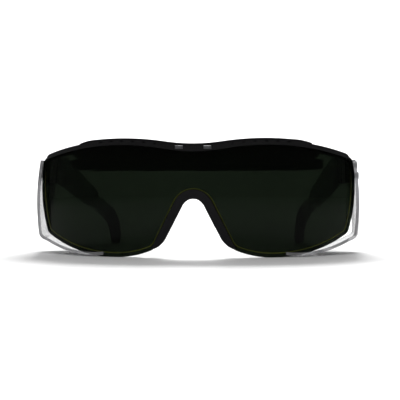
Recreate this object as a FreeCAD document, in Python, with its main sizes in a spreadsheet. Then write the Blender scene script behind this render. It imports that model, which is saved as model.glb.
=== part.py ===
"""Over-the-glasses welding spectacles: one dark shield lens in a black brow frame, clear side shields
and two temples that fold, tilt and telescope.

Frame: millimetres, +Z up, +X to the wearer's left, the lens faces -Y. The spectacles stand on a table at
z = 0, on the lens's lower edge and the temple tips. The origin is at the bottom centre of the bounding box.
Depths are measured from the lens's foremost point, which is at y = front_y.
"""

import FreeCAD, Part
import os

import Sketcher
from FreeCAD import Placement, Rotation, Vector

SIZES = [
    ("front_y", -78.33, "y of the lens's foremost point"),
    # lens
    ("lens_radius", 105.0, "plan radius of the lens's front face"),
    ("barrel_radius", 240.0, "vertical radius of the lens's front face"),
    ("lens_thick", 2.2, "lens thickness"),
    ("barrel_z", 29.0, "height of the lens's foremost point"),
    ("barrel_angle", 18.0, "angle of the blank, up and down"),
    ("wrap_angle", 108.0, "plan angle of the blank"),
    ("dip_half", 14.0, "half width of the dip over the nose, to the inflection"),
    ("dip_radius", 75.0, "radius of the dip in the lens's top edge"),
    ("crest_radius", 129.0, "radius of the top edge over each eye"),
    ("dip_end_z", 52.1, "height of the inflection in the lens's top edge"),
    ("top_corner_x", 77.0, "lens's upper corner"),
    ("top_corner_z", 47.8, "lens's upper corner"),
    ("side_radius", 72.0, "bow of the lens's side edge"),
    ("low_corner_x", 74.4, "lens's lower corner"),
    ("low_corner_z", 11.0, "lens's lower corner"),
    ("lobe_x", 37.0, "where the lower edge touches the table"),
    ("lobe_radius_out", 65.0, "lower edge from the lobe to the corner"),
    ("lobe_radius_in", 45.0, "lower edge from the lobe to the nose"),
    ("nose_foot_x", 17.9, "foot of the lens's nose notch"),
    ("nose_foot_z", 4.25, "foot of the lens's nose notch"),
    ("nose_shoulder_x", 7.16, "where the flank meets the notch's round top"),
    ("nose_shoulder_z", 25.77, "where the flank meets the notch's round top"),
    ("nose_top_radius", 8.0, "round top of the lens's nose notch"),
    ("corner_fillet", 4.2, "rounding of the lens's corners"),
    ("foot_fillet", 5.5, "rounding of the nose notch's foot"),
    # brow frame
    ("bar_front", 0.7, "how far the bar stands in front of the lens's foremost point"),
    ("bar_back", 5.4, "depth of the bar's rear face"),
    ("bar_low", 44.5, "lower edge of the bar's rear wall"),
    ("bar_low_x", 50.0, "half length of that lower edge"),
    ("bar_low_radius", 13.0, "rounding from that lower edge up to the shallow ends"),
    ("bar_rise_x", 60.0, "where the shallow ends begin"),
    ("bar_end_x", 75.2, "half length of the bar"),
    ("bar_end_round", 3.0, "rounding of the bar's upper end corners"),
    ("bar_end_drop", 2.6, "lower edge of the shallow ends below the lens's top edge"),
    ("bar_rise", 0.9, "bar's top above the lens's top edge"),
    ("lip_cover", 1.3, "how much of the lens the bar's front lip covers"),
    ("bar_angle", 97.0, "plan angle of the bar"),
    ("end_in_x", 68.6, "inner side of the end piece"),
    ("end_out_x", 77.5, "outer side of the end piece"),
    ("cheek_in_x", 75.5, "inner side of the end piece's cheek"),
    ("cheek_back", 43.6, "depth of the cheek's back"),
    ("cheek_low", 36.8, "lower edge of the cheek"),
    ("cheek_high", 48.0, "upper edge of the cheek"),
    ("end_front", 29.5, "depth of the end piece's front"),
    ("end_back", 35.4, "depth of the end piece's back"),
    ("end_low", 35.4, "lower end of the end piece"),
    ("end_high", 48.7, "upper end of the end piece"),
    # brow rail and vent notches
    ("rail_front", 0.7, "depth of the rail's front face"),
    ("rail_back", 5.0, "depth of the rail's rear face"),
    ("rail_half", 56.0, "half length of the rail"),
    ("rail_end_z", 54.2, "height of the rail's ends"),
    ("rail_turn_x", 46.0, "where the rail's top turns down to its end"),
    ("rail_turn_z", 55.85, "where the rail's top turns down to its end"),
    ("rail_turn_radius", 30.0, "radius of that turn"),
    ("rail_dip_half", 13.0, "half width of the rail's dip"),
    ("rail_dip_z", 54.3, "height of the inflection in the rail's top"),
    ("rail_dip_radius", 86.0, "radius of the rail's dip"),
    ("rail_crest_radius", 150.0, "radius of the rail's top over each eye"),
    ("vent_first", 17.5, "first vent notch from the middle"),
    ("vent_pitch", 5.4, "spacing of the vent notches"),
    ("vent_width", 1.8, "width of a vent notch"),
    ("vent_depth", 0.8, "how far a vent notch goes down from the bar's top"),
    ("vent_count", 6, "vent notches on each side"),
    # lens clips
    ("clip_x", 6.6, "middle of each lens clip"),
    ("clip_width", 3.6, "clip width"),
    ("clip_height", 1.6, "clip height"),
    ("clip_z", 50.55, "bottom of the clips"),
    ("clip_front", 1.3, "how far a clip stands in front of the lens's foremost point"),
    ("clip_back", 3.2, "depth of a clip's rear face"),
    # brow shelf and pad
    ("slope", 15.0, "slope of the shelf and of the temples, in degrees"),
    ("shelf_start", 5.4, "depth where the shelf begins"),
    ("shelf_z", 50.3, "shelf's height where it begins"),
    ("shelf_thick", 1.6, "shelf thickness"),
    ("shelf_depth", 24.0, "shelf's length along its slope, to the straight rear edge"),
    ("shelf_half", 48.0, "half length of the straight rear edge"),
    ("shelf_end_radius", 30.0, "round ends of the shelf"),
    ("shelf_slot_length", 11.0, "length of a vent slot in the shelf"),
    ("shelf_slot_width", 2.2, "width of a vent slot in the shelf"),
    ("pad_reach", 2.2, "how far the pad stands past the shelf's edge"),
    ("pad_grip", 2.4, "how far the pad covers the shelf"),
    ("pad_half_height", 2.3, "half the pad's height"),
    # nose piece
    ("saddle_radius", 5.1, "round top of the nose opening"),
    ("saddle_z", 22.2, "centre of that round top"),
    ("saddle_lean", 26.5, "lean of the nose opening's flanks from upright, in degrees"),
    ("saddle_low", 3.3, "lower end of the nose piece"),
    ("saddle_turn_z", 9.2, "where the opening's flanks begin to turn outwards"),
    ("saddle_wide", 4.4, "width of the nose piece's front"),
    ("saddle_flare", 2.6, "how much the opening widens to the back"),
    ("saddle_thin", 2.2, "thickness of the nose piece's back"),
    ("saddle_front", 1.0, "how far the nose piece stands in front of the lens"),
    ("saddle_back", 10.0, "depth of the nose piece's back"),
    # side shields
    ("shield_thick", 1.5, "side shield thickness"),
    ("shield_end", 74.0, "depth of the side shield's rear edge"),
    ("shield_front", 30.6, "depth of the side shield's front edge beside the lens"),
    ("shield_bow", 120.0, "bow of the side shield's wall"),
    ("shield_corner", 4.5, "radius of the side shield's lower corner"),
    ("shield_floor_bow", 48.0, "bow of the side shield's floor"),
    ("floor_trim_x", 56.0, "the floor ends here behind the floor trim's depth"),
    ("floor_trim_depth", 33.0, "depth of the floor trim"),
    ("rivet_radius", 1.3, "rivet shank"),
    ("rivet_head", 2.0, "rivet head"),
    ("rivet_depth", 40.2, "depth of the rivets"),
    ("rivet_low", 39.2, "height of the lower rivet"),
    ("rivet_high", 44.6, "height of the upper rivet"),
    ("rivet_in", 75.5, "inner end of a rivet"),
    ("rivet_seat_low", 79.85, "inner face of the lower rivet's head"),
    ("rivet_seat_high", 79.1, "inner face of the upper rivet's head"),
    ("rivet_head_high", 0.8, "height of a rivet's head"),
    # hinge
    ("pin_x", 72.0, "fold pin from the middle"),
    ("pin_depth", 39.0, "depth of the fold pin"),
    ("pin_z", 42.5, "height of the hinge's middle"),
    ("pin_radius", 1.1, "fold pin"),
    ("pin_clear", 0.05, "running clearance round each pin"),
    ("pin_low", 35.0, "lower end of the fold pin"),
    ("pin_high", 49.5, "upper end of the fold pin"),
    ("knuckle_radius", 3.2, "knuckle"),
    ("knuckle_half", 3.9, "half height of the block's knuckle"),
    ("knuckle_gap", 0.2, "gap between knuckles"),
    ("yaw", 7.2, "how far the temples point inwards, in degrees"),
    ("tilt_offset", 9.6, "fold pin to tilt screw"),
    ("lug_radius", 5.6, "round lug of the hinge block"),
    ("lug_half", 1.4, "half thickness of the lug"),
    ("tilt_radius", 1.25, "tilt screw's shank"),
    ("detent_radius", 0.3, "tilt detents in the lug's rim"),
    ("detent_step", 7.5, "angle between the tilt detents, in degrees"),
    ("screw_head", 2.4, "tilt screw's head"),
    ("screw_head_high", 0.8, "height of the tilt screw's head"),
    ("screw_gap", 0.05, "gap under the tilt screw's head"),
    # temple
    ("sleeve_half", 3.1, "half width of the temple sleeve"),
    ("cheek_radius", 6.5, "round cheeks of the temple sleeve"),
    ("fork_half", 1.55, "half width of the fork's slot"),
    ("fork_end", 8.2, "depth of the fork's slot from the tilt screw"),
    ("sleeve_length", 58.0, "tilt screw to the sleeve's end"),
    ("sleeve_end_half", 4.6, "half height of the sleeve's end"),
    ("bore_half_width", 1.55, "half width of the slider's channel"),
    ("bore_half_height", 3.0, "half height of the slider's channel"),
    ("bore_start", 18.0, "where the slider's channel begins"),
    ("bar_half_width", 1.5, "half width of the slider's bar"),
    ("bar_half_height", 2.5, "half height of the slider's bar"),
    ("bar_start", 28.0, "where the slider's bar begins"),
    ("slide_travel", 9.0, "length adjustment"),
    ("slide_gap", 0.5, "gap left at the sleeve when the temple is pushed in"),
    ("arm_half_width", 2.0, "half width of the arm"),
    ("arm_half_height", 3.9, "half height of the arm"),
    ("arm_end", 94.0, "where the ear bend begins"),
    ("bend_radius", 22.0, "ear bend"),
    ("bend_angle", 50.0, "ear bend, in degrees"),
    ("tip_run", 2.32, "straight run after the ear bend"),
    ("tip_half_height", 4.1, "half height of the temple tip"),
    ("tooth_pitch", 3.0, "spacing of the length detents"),
    ("tooth_radius", 0.6, "length detent notches"),
    ("tooth_first", 31.0, "first length detent"),
    ("tooth_count", 9, "number of length detents"),
    ("spring_thick", 0.35, "detent spring strip"),
    ("spring_half_width", 1.2, "half width of the detent spring strip"),
    ("spring_start", 30.0, "where the detent spring strip begins"),
    ("spring_end", 55.0, "where the detent spring strip ends"),
    ("tongue_half_width", 1.2, "half width of the tongue inside the ear cover"),
    ("tongue_half_height", 2.2, "half height of that tongue"),
    ("tongue_angle", 40.0, "bend of that tongue, in degrees"),
    ("cover_half_width", 2.7, "half width of the ear cover"),
    ("cover_start", 86.0, "where the ear cover begins"),
    ("cord_hole_radius", 1.25, "hole for a neck cord"),
]

doc = FreeCAD.newDocument("welding_spectacles")
sheet = doc.addObject("Spreadsheet::Sheet", "Sizes")
for row, (alias, number, note) in enumerate(SIZES, start=1):
    sheet.set(f"A{row}", alias)
    sheet.set(f"B{row}", str(number))
    sheet.set(f"C{row}", note)
    sheet.setAlias(f"B{row}", alias)
doc.recompute()


def value(expression):
    """The number that an expression over the sheet's cells gives."""
    return float(sheet.evalExpression(expression.replace("Sizes.", "")))


def bind(thing, name, expression):
    thing.setExpression(name, expression)


def depth(expression):
    """y of a point that lies that deep behind the lens's foremost point."""
    return f"Sizes.front_y + ({expression})"


# --- helpers for sketches and features ---


def body(name):
    made = doc.addObject("PartDesign::Body", name)
    made.Label = name
    return made


def sketch(owner, name, plane, offset=None):
    """A sketch on one of the body's own planes, moved along the plane's normal by an expression."""
    made = owner.newObject("Sketcher::SketchObject", name)
    face = next(f for f in owner.Origin.OriginFeatures if f.Role == plane)
    made.AttachmentSupport = [(face, "")]
    made.MapMode = "FlatFace"
    if offset is not None:
        bind(made, "AttachmentOffset.Base.z", offset)
    return made


def pin_down(made, geometry, end, corner):
    """Ties a point of the sketch to its two expressions."""
    for kind, expression in zip(("DistanceX", "DistanceY"), corner):
        index = made.addConstraint(Sketcher.Constraint(kind, -1, 1, geometry, end, value(expression)))
        made.setExpression(f"Constraints[{index}]", expression)


def trace(made, corners):
    """Adds a closed outline. Each corner is (x, y, bow): bow is "" for a straight run to the next corner, or an
    arc's radius, with its centre to the right of the way there, or to the left with a minus sign."""
    points = [Vector(value(x), value(y), 0) for x, y, _ in corners]
    ends = []
    for i, (x, y, bow) in enumerate(corners):
        start, stop = points[i], points[(i + 1) % len(points)]
        if not bow:
            index = made.addGeometry(Part.LineSegment(start, stop))
            ends.append((index, 1, 2))
            continue
        radius = value(bow)
        run = stop - start
        right = Vector(run.y, -run.x, 0).normalize()
        centre = start + run * 0.5 + right * (max(radius**2 - run.Length**2 / 4, 0) ** 0.5 * (1 if radius > 0 else -1))
        a, b = (stop, start) if radius > 0 else (start, stop)
        circle = Part.Circle(centre, Vector(0, 0, 1), abs(radius))
        index = made.addGeometry(Part.ArcOfCircle(circle, circle.parameter(a), circle.parameter(b)))
        ends.append((index, 2, 1) if radius > 0 else (index, 1, 2))
        constraint = made.addConstraint(Sketcher.Constraint("Radius", index, abs(radius)))
        made.setExpression(f"Constraints[{constraint}]", f"abs({bow})")
    for (index, first, last), corner, (following, head, _) in zip(ends, corners, ends[1:] + ends[:1]):
        pin_down(made, index, first, corner[:2])
        made.addConstraint(Sketcher.Constraint("Coincident", index, last, following, head))


def ring(made, x, y, radius):
    """Adds a circle to a sketch."""
    index = made.addGeometry(Part.Circle(Vector(value(x), value(y), 0), Vector(0, 0, 1), value(radius)))
    pin_down(made, index, 3, (x, y))
    constraint = made.addConstraint(Sketcher.Constraint("Radius", index, value(radius)))
    made.setExpression(f"Constraints[{constraint}]", radius)


def rectangle(made, left, low, right, high):
    trace(made, [(left, low, ""), (left, high, ""), (right, high, ""), (right, low, "")])


def pad(owner, name, profile, length, symmetric=True, reverse=False):
    made = owner.newObject("PartDesign::Pad", name)
    made.Profile = profile
    made.SideType = "Symmetric" if symmetric else "One side"
    made.Reversed = reverse
    bind(made, "Length", length)
    doc.recompute()
    return made


def pocket(owner, name, profile, length=None, reverse=False):
    """Cuts through everything, both ways, or one way to a length. It stops if nothing was cut."""
    before = owner.Tip.Shape.Volume
    made = owner.newObject("PartDesign::Pocket", name)
    made.Profile = profile
    made.Reversed = reverse
    if length is None:
        made.Type = "ThroughAll"
        made.SideType = "Symmetric"
    else:
        bind(made, "Length", length)
    doc.recompute()
    if not made.Shape.Volume < before - 1e-6:
        raise RuntimeError(f"{name} cuts nothing")
    return made


def revolve(owner, name, profile, angle):
    made = owner.newObject("PartDesign::Revolution", name)
    made.Profile = profile
    made.ReferenceAxis = (profile, ["Axis0"])
    made.Midplane = True
    bind(made, "Angle", angle)
    doc.recompute()
    return made


def edges(shape, chosen):
    """Names of the edges whose middle point passes the test."""
    found = []
    for i, edge in enumerate(shape.Edges, start=1):
        middle = edge.valueAt((edge.FirstParameter + edge.LastParameter) / 2)
        if chosen(edge, middle):
            found.append(f"Edge{i}")
    return found


def soften(owner, name, chosen, size, kind="PartDesign::Fillet"):
    base = owner.Tip
    made = owner.newObject(kind, name)
    made.Base = (base, edges(base.Shape, chosen))
    bind(made, "Radius" if kind.endswith("Fillet") else "Size", size)
    doc.recompute()
    return made


def along(edge, direction, slack=1e-3):
    """True for a straight edge that runs along a direction."""
    if not isinstance(edge.Curve, Part.Line):
        return False
    return abs(abs(edge.Curve.Direction.dot(direction)) - 1) < slack


def cut(name, base, *tools):
    """base less each tool. Only the result is a sub-part."""
    for i, tool in enumerate(tools):
        made = doc.addObject("Part::Cut", f"{name}_cut{i}")
        made.Base, made.Tool = base, tool
        base = made
    base.Label = name
    doc.recompute()
    return base


def box(name, low, high):
    """A Part::Box between two corners given as expressions."""
    made = doc.addObject("Part::Box", name)
    for size, place, lo, hi in zip(("Length", "Width", "Height"), "xyz", low, high):
        bind(made, size, f"({hi}) - ({lo})")
        bind(made, f"Placement.Base.{place}", lo)
    return made


def cylinder(name, radius, height, base, turn=None):
    """A Part::Cylinder from a base point, with its axis along +Z unless it is turned."""
    made = doc.addObject("Part::Cylinder", name)
    bind(made, "Radius", radius)
    bind(made, "Height", height)
    where = "; ".join(base)
    bind(made, "Placement", f"placement(vector({where}); {turn or 'rotation(0; 0; 0)'})")
    return made


def fuse(name, *shapes):
    made = doc.addObject("Part::MultiFuse", name)
    made.Shapes = list(shapes)
    made.Label = name
    doc.recompute()
    return made


def other_side(name, source):
    """The same piece on the wearer's right, mirrored across the middle."""
    made = doc.addObject("Part::Mirroring", name)
    made.Source = source
    made.Normal = Vector(1, 0, 0)
    made.Label = name
    return made


# --- outlines in the front view ---


def top_edge(lift):
    """The wavy top edge of the lens, or a line a little above or below it, from left to right."""
    z_end, z_corner = f"Sizes.dip_end_z + ({lift})", f"Sizes.top_corner_z + ({lift})"
    return [
        ("-Sizes.top_corner_x", z_corner, "Sizes.crest_radius"),
        ("-Sizes.dip_half", z_end, "-Sizes.dip_radius"),
        ("Sizes.dip_half", z_end, "Sizes.crest_radius"),
        ("Sizes.top_corner_x", z_corner, ""),
    ]


def lens_outline():
    """The lens seen from the front, clockwise from its upper left corner."""
    top = top_edge("0")
    down = [
        ("Sizes.top_corner_x", "Sizes.top_corner_z", "Sizes.side_radius"),
        ("Sizes.low_corner_x", "Sizes.low_corner_z", "Sizes.lobe_radius_out"),
        ("Sizes.lobe_x", "0", "Sizes.lobe_radius_in"),
        ("Sizes.nose_foot_x", "Sizes.nose_foot_z", ""),
        ("Sizes.nose_shoulder_x", "Sizes.nose_shoulder_z", "-Sizes.nose_top_radius"),
        ("-Sizes.nose_shoulder_x", "Sizes.nose_shoulder_z", ""),
        ("-Sizes.nose_foot_x", "Sizes.nose_foot_z", "Sizes.lobe_radius_in"),
        ("-Sizes.lobe_x", "0", "Sizes.lobe_radius_out"),
        ("-Sizes.low_corner_x", "Sizes.low_corner_z", "Sizes.side_radius"),
    ]
    return top[:-1] + down


def on_arc(start, stop, radius, x, lift="0"):
    """Height at x on an arc that bulges up from one corner to another."""
    (x0, z0), (x1, z1) = start, stop
    run = f"sqrt(({x1} - {x0}) ^ 2 + ({z1} - {z0}) ^ 2)"
    high = f"sqrt({radius} ^ 2 - {run} ^ 2 / 4)"
    middle_x = f"(({x0} + {x1}) / 2 + ({z1} - {z0}) / {run} * {high})"
    middle_z = f"(({z0} + {z1}) / 2 - ({x1} - {x0}) / {run} * {high})"
    return f"{middle_z} + ({lift}) + sqrt({radius} ^ 2 - ({x} - {middle_x}) ^ 2)"


CREST = (("Sizes.dip_half", "Sizes.dip_end_z"), ("Sizes.top_corner_x", "Sizes.top_corner_z"), "Sizes.crest_radius")


def rail_outline():
    """The brow rail seen from the front: a wavy top that turns down to its ends, on the bar's top."""
    low = top_edge("Sizes.bar_rise")
    below = on_arc(*CREST, "Sizes.rail_half", "Sizes.bar_rise")
    return [
        ("-Sizes.rail_half", "Sizes.rail_end_z", "Sizes.rail_turn_radius"),
        ("-Sizes.rail_turn_x", "Sizes.rail_turn_z", "Sizes.rail_crest_radius"),
        ("-Sizes.rail_dip_half", "Sizes.rail_dip_z", "-Sizes.rail_dip_radius"),
        ("Sizes.rail_dip_half", "Sizes.rail_dip_z", "Sizes.rail_crest_radius"),
        ("Sizes.rail_turn_x", "Sizes.rail_turn_z", "Sizes.rail_turn_radius"),
        ("Sizes.rail_half", "Sizes.rail_end_z", ""),
        ("Sizes.rail_half", below, "-Sizes.crest_radius"),
        ("Sizes.dip_half", low[2][1], "Sizes.dip_radius"),
        ("-Sizes.dip_half", low[1][1], "-Sizes.crest_radius"),
        ("-Sizes.rail_half", below, ""),
    ]


def prism(name, outline):
    """A long prism along y over an outline in the front view."""
    made = body(name)
    profile = sketch(made, f"{name}_outline", "XZ_Plane")
    trace(profile, outline)
    pad(made, f"{name}_pad", profile, "4 * Sizes.lens_radius")
    return made


def shared(name, base, tool):
    """What two bodies have in common."""
    made = doc.addObject("Part::Common", name)
    made.Base, made.Tool = base, tool
    made.Label = name
    doc.recompute()
    return made


def lens_axis(profile):
    """The upright axis that the lens, bar and rail are turned about."""
    x = value(depth("Sizes.lens_radius"))
    line = profile.addGeometry(Part.LineSegment(Vector(x, 0, 0), Vector(x, 60, 0)), True)
    pin_down(profile, line, 1, (depth("Sizes.lens_radius"), "0"))
    pin_down(profile, line, 2, (depth("Sizes.lens_radius"), "60"))


def barrel(owner, name, front, thick):
    """A curved blank, bowed in plan and up and down, that starts that deep behind the lens's front face."""
    profile = sketch(owner, f"{name}_section", "XY_Plane", "Sizes.barrel_z")
    half = "Sizes.wrap_angle / 2"
    outer = f"(Sizes.lens_radius - ({front}))"
    inner = f"(Sizes.lens_radius - ({front}) - ({thick}))"

    def point(radius, sign):
        return f"{sign} * {radius} * sin({half})", depth(f"Sizes.lens_radius - {radius} * cos({half})")

    trace(
        profile,
        [
            (*point(outer, -1), f"-{outer}"),
            (*point(outer, 1), ""),
            (*point(inner, 1), inner),
            (*point(inner, -1), ""),
        ],
    )
    y = depth("Sizes.barrel_radius")
    line = profile.addGeometry(Part.LineSegment(Vector(0, value(y), 0), Vector(60, value(y), 0)), True)
    pin_down(profile, line, 1, ("0", y))
    pin_down(profile, line, 2, ("60", y))
    revolve(owner, name, profile, "Sizes.barrel_angle")


def upright_sector(owner, name, front, back, low, high, angle):
    """A ring sector about the lens's axis, between two depths and two heights."""
    profile = sketch(owner, f"{name}_section", "YZ_Plane")
    rectangle(profile, depth(front), low, depth(back), high)
    lens_axis(profile)
    revolve(owner, name, profile, angle)


# --- lens ---


def make_lens_prism():
    shape = prism("lens_prism", lens_outline())
    corner_x, foot_x = value("Sizes.low_corner_x") - 2, value("Sizes.nose_foot_x")
    across = Vector(0, 1, 0)
    soften(shape, "lens_corners", lambda e, m: along(e, across) and abs(m.x) > corner_x, "Sizes.corner_fillet")
    soften(shape, "lens_feet", lambda e, m: along(e, across) and abs(abs(m.x) - foot_x) < 1, "Sizes.foot_fillet")
    return shape


def make_lens(shape):
    blank = body("lens_blank")
    barrel(blank, "lens_blank_turn", "0", "Sizes.lens_thick")
    return shared("lens_shield", blank, shape)


# --- brow frame ---


def bar_outline():
    """The bar seen from the front. Its rear wall is deep over the eyes and nose, and shallow at its ends."""
    top_z = on_arc(*CREST, "Sizes.bar_end_x", "Sizes.bar_rise")
    end_z = on_arc(*CREST, "Sizes.bar_end_x", "-Sizes.bar_end_drop")
    rise_z = on_arc(*CREST, "Sizes.bar_rise_x", "-Sizes.bar_end_drop")
    dip_z = "Sizes.dip_end_z + Sizes.bar_rise"
    return [
        ("-Sizes.bar_end_x", top_z, "Sizes.crest_radius"),
        ("-Sizes.dip_half", dip_z, "-Sizes.dip_radius"),
        ("Sizes.dip_half", dip_z, "Sizes.crest_radius"),
        ("Sizes.bar_end_x", top_z, ""),
        ("Sizes.bar_end_x", end_z, "-Sizes.crest_radius"),
        ("Sizes.bar_rise_x", rise_z, "Sizes.bar_low_radius"),
        ("Sizes.bar_low_x", "Sizes.bar_low", ""),
        ("-Sizes.bar_low_x", "Sizes.bar_low", "Sizes.bar_low_radius"),
        ("-Sizes.bar_rise_x", rise_z, "-Sizes.crest_radius"),
        ("-Sizes.bar_end_x", end_z, ""),
    ]


def make_bar():
    blank = body("bar_blank")
    upright_sector(blank, "bar_turn", "-Sizes.bar_front", "Sizes.bar_back", "40", "60", "Sizes.bar_angle")
    shape = prism("bar_prism", bar_outline())
    end_x = value("Sizes.bar_end_x")
    top_z = value(on_arc(*CREST, "Sizes.bar_end_x", "Sizes.bar_rise"))

    def upper_end(edge, middle):
        return abs(abs(middle.x) - end_x) < 0.01 and abs(middle.z - top_z) < 0.01

    soften(shape, "bar_ends", upper_end, "Sizes.bar_end_round")
    return shared("brow_bar", blank, shape)


def make_window():
    """The space ahead of the lens's back, and what of it the bar's front lip leaves free."""
    glass = body("window_blank")
    barrel(glass, "window_turn", "-6", "Sizes.lens_thick + 5.9")
    low = top_edge("-Sizes.lip_cover")
    side, level = "Sizes.top_corner_x + 8", low[3][1]
    below = [(side, level, ""), (side, "10", ""), (f"-({side})", "10", ""), (f"-({side})", level, "")]
    return glass, shared("lens_window", glass, prism("window_prism", low + below))


def hinge_space(side, sign):
    """Room round the hinge block's knuckle."""
    half = "(Sizes.knuckle_half + Sizes.knuckle_gap)"
    where = (f"{sign} * Sizes.pin_x", depth("Sizes.pin_depth"), f"Sizes.pin_z - {half}")
    return cylinder(f"hinge_space_{side}", "Sizes.knuckle_radius + Sizes.knuckle_gap", f"2 * {half}", where)


def make_brow_frame(bar, lens, window):
    return cut("brow_frame", bar, lens, window, make_vents(), hinge_space("left", 1), hinge_space("right", -1))


def make_end_piece(lens_shape, lens, ahead, bar, rivets):
    """A block behind the lens's upper corner, with two knuckles for the fold pin and a cheek for the rivets."""
    reach, low, high = "Sizes.knuckle_radius", "Sizes.end_low", "Sizes.end_high"
    half = "(Sizes.knuckle_half + Sizes.knuckle_gap)"
    blocks = [
        box(
            "end_block",
            ("Sizes.end_in_x", depth("Sizes.end_front"), low),
            ("Sizes.end_out_x", depth("Sizes.end_back"), high),
        ),
        box(
            "end_cheek",
            ("Sizes.cheek_in_x", depth("Sizes.end_back - 1"), "Sizes.cheek_low"),
            ("Sizes.end_out_x", depth("Sizes.cheek_back"), "Sizes.cheek_high"),
        ),
    ]
    knuckles = []
    for level, low_z, high_z in (("low", low, f"Sizes.pin_z - {half}"), ("high", f"Sizes.pin_z + {half}", high)):
        where = ("Sizes.pin_x", depth("Sizes.pin_depth"), low_z)
        knuckles.append(cylinder(f"knuckle_{level}", reach, f"({high_z}) - ({low_z})", where))
        blocks.append(
            box(
                f"ear_{level}",
                (f"Sizes.pin_x - {reach}", depth("Sizes.end_back - 1"), low_z),
                ("Sizes.end_out_x", depth("Sizes.pin_depth"), high_z),
            )
        )
    behind_lens = shared("end_blocks_trimmed", fuse("end_blocks", *blocks), lens_shape)
    whole = fuse("end_piece_blank", behind_lens, *knuckles)
    where = ("Sizes.pin_x", depth("Sizes.pin_depth"), "Sizes.pin_low - 2")
    bore = cylinder("pin_bore", "Sizes.pin_radius", "Sizes.pin_high - Sizes.pin_low + 4", where)
    return cut("end_piece_left", whole, lens, ahead, bar, bore, rivets)


def make_rail():
    blank = body("rail_blank")
    upright_sector(blank, "rail_turn", "Sizes.rail_front", "Sizes.rail_back", "44", "60", "Sizes.bar_angle")
    return shared("brow_rail", blank, prism("rail_prism", rail_outline()))


def make_vents():
    """The tool that cuts the vent notches in the top of the bar's front lip."""
    blank = body("vent_blank")
    upright_sector(blank, "vent_turn", "-3", "Sizes.rail_front + 0.1", "44", "60", "Sizes.bar_angle")
    teeth = body("vent_teeth")
    profile = sketch(teeth, "vent_notches", "XZ_Plane")
    for sign in (1, -1):
        for i in range(round(value("Sizes.vent_count"))):
            x = f"(Sizes.vent_first + {i} * Sizes.vent_pitch)"
            low = on_arc(*CREST, x, "Sizes.bar_rise - Sizes.vent_depth")
            rectangle(
                profile,
                f"{sign} * {x} - Sizes.vent_width / 2",
                low,
                f"{sign} * {x} + Sizes.vent_width / 2",
                f"{low} + 4",
            )
    pad(teeth, "vent_teeth_pad", profile, "4 * Sizes.lens_radius")
    return shared("vent_comb", blank, teeth)


def make_clip(side, sign):
    made = body(f"clip_{side}_blank")
    profile = sketch(made, f"clip_{side}_section", "XZ_Plane", "-(" + depth("-Sizes.clip_front") + ")")
    rectangle(
        profile,
        f"{sign} * Sizes.clip_x - Sizes.clip_width / 2",
        "Sizes.clip_z",
        f"{sign} * Sizes.clip_x + Sizes.clip_width / 2",
        "Sizes.clip_z + Sizes.clip_height",
    )
    pad(made, f"clip_{side}_pad", profile, "Sizes.clip_front + Sizes.clip_back", symmetric=False, reverse=True)
    front = value(depth("-Sizes.clip_front"))
    soften(made, f"clip_{side}_soft", lambda e, m: abs(m.y - front) < 1e-3, "0.5")
    return made


# --- brow shelf and pad, in a frame that slopes down to the back ---


def sloping(made):
    """Places a body whose own y runs back along the slope, from where the shelf begins."""
    where = f"vector(0; {depth('Sizes.shelf_start')}; Sizes.shelf_z)"
    bind(made, "Placement", f"placement({where}; rotation(0; 0; -Sizes.slope))")


def shelf_outline(grow):
    """Plan of the shelf: wide arcs at its ends and a straight rear edge, grown outwards by an expression."""
    back = f"Sizes.shelf_depth + ({grow})"
    round_end = f"Sizes.shelf_end_radius + ({grow})"
    tip_x = f"Sizes.shelf_half + ({round_end}) * sin(60)"
    tip_y = f"Sizes.shelf_depth - Sizes.shelf_end_radius + ({round_end}) * cos(60)"
    return [
        (f"-({tip_x})", "-20", ""),
        (f"{tip_x}", "-20", ""),
        (tip_x, tip_y, f"-({round_end})"),
        ("Sizes.shelf_half", back, ""),
        ("-Sizes.shelf_half", back, f"-({round_end})"),
        (f"-({tip_x})", tip_y, ""),
    ]


def inside_bar(name, made, margin):
    """What of a sloping body lies inside the bar's rear face."""
    radius = f"Sizes.lens_radius - Sizes.bar_back - ({margin})"
    core = cylinder(f"{name}_core", radius, "80", ("0", depth("Sizes.lens_radius"), "0"))
    common = doc.addObject("Part::Common", f"{name}_common")
    common.Base, common.Tool = made, core
    doc.recompute()
    return common


def make_shelf():
    plate = body("shelf_plate")
    profile = sketch(plate, "shelf_plan", "XY_Plane")
    trace(profile, shelf_outline("0"))
    pad(plate, "shelf_pad", profile, "Sizes.shelf_thick")
    slots = sketch(plate, "shelf_slots", "XY_Plane")
    for x, y in ((-24, 11), (24, 11), (-8, 9), (8, 9), (-39, 15), (39, 15)):
        rectangle(
            slots,
            f"{x} - Sizes.shelf_slot_length / 2",
            f"{y} - Sizes.shelf_slot_width / 2",
            f"{x} + Sizes.shelf_slot_length / 2",
            f"{y} + Sizes.shelf_slot_width / 2",
        )
    pocket(plate, "shelf_slot_cut", slots)
    sloping(plate)
    shelf = inside_bar("brow_shelf", plate, "0")
    shelf.Label = "brow_shelf"
    return shelf


def make_brow_pad(shelf):
    band = body("pad_band")
    profile = sketch(band, "pad_plan", "XY_Plane")
    trace(profile, shelf_outline("Sizes.pad_reach"))
    pad(band, "pad_pad", profile, "2 * Sizes.pad_half_height")
    hollow = sketch(band, "pad_hollow", "XY_Plane")
    trace(hollow, shelf_outline("-Sizes.pad_grip"))
    pocket(band, "pad_hollow_cut", hollow)
    sloping(band)
    trimmed = inside_bar("brow_pad", band, "0.3")
    return cut("brow_pad", trimmed, shelf)


# --- nose piece ---


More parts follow.
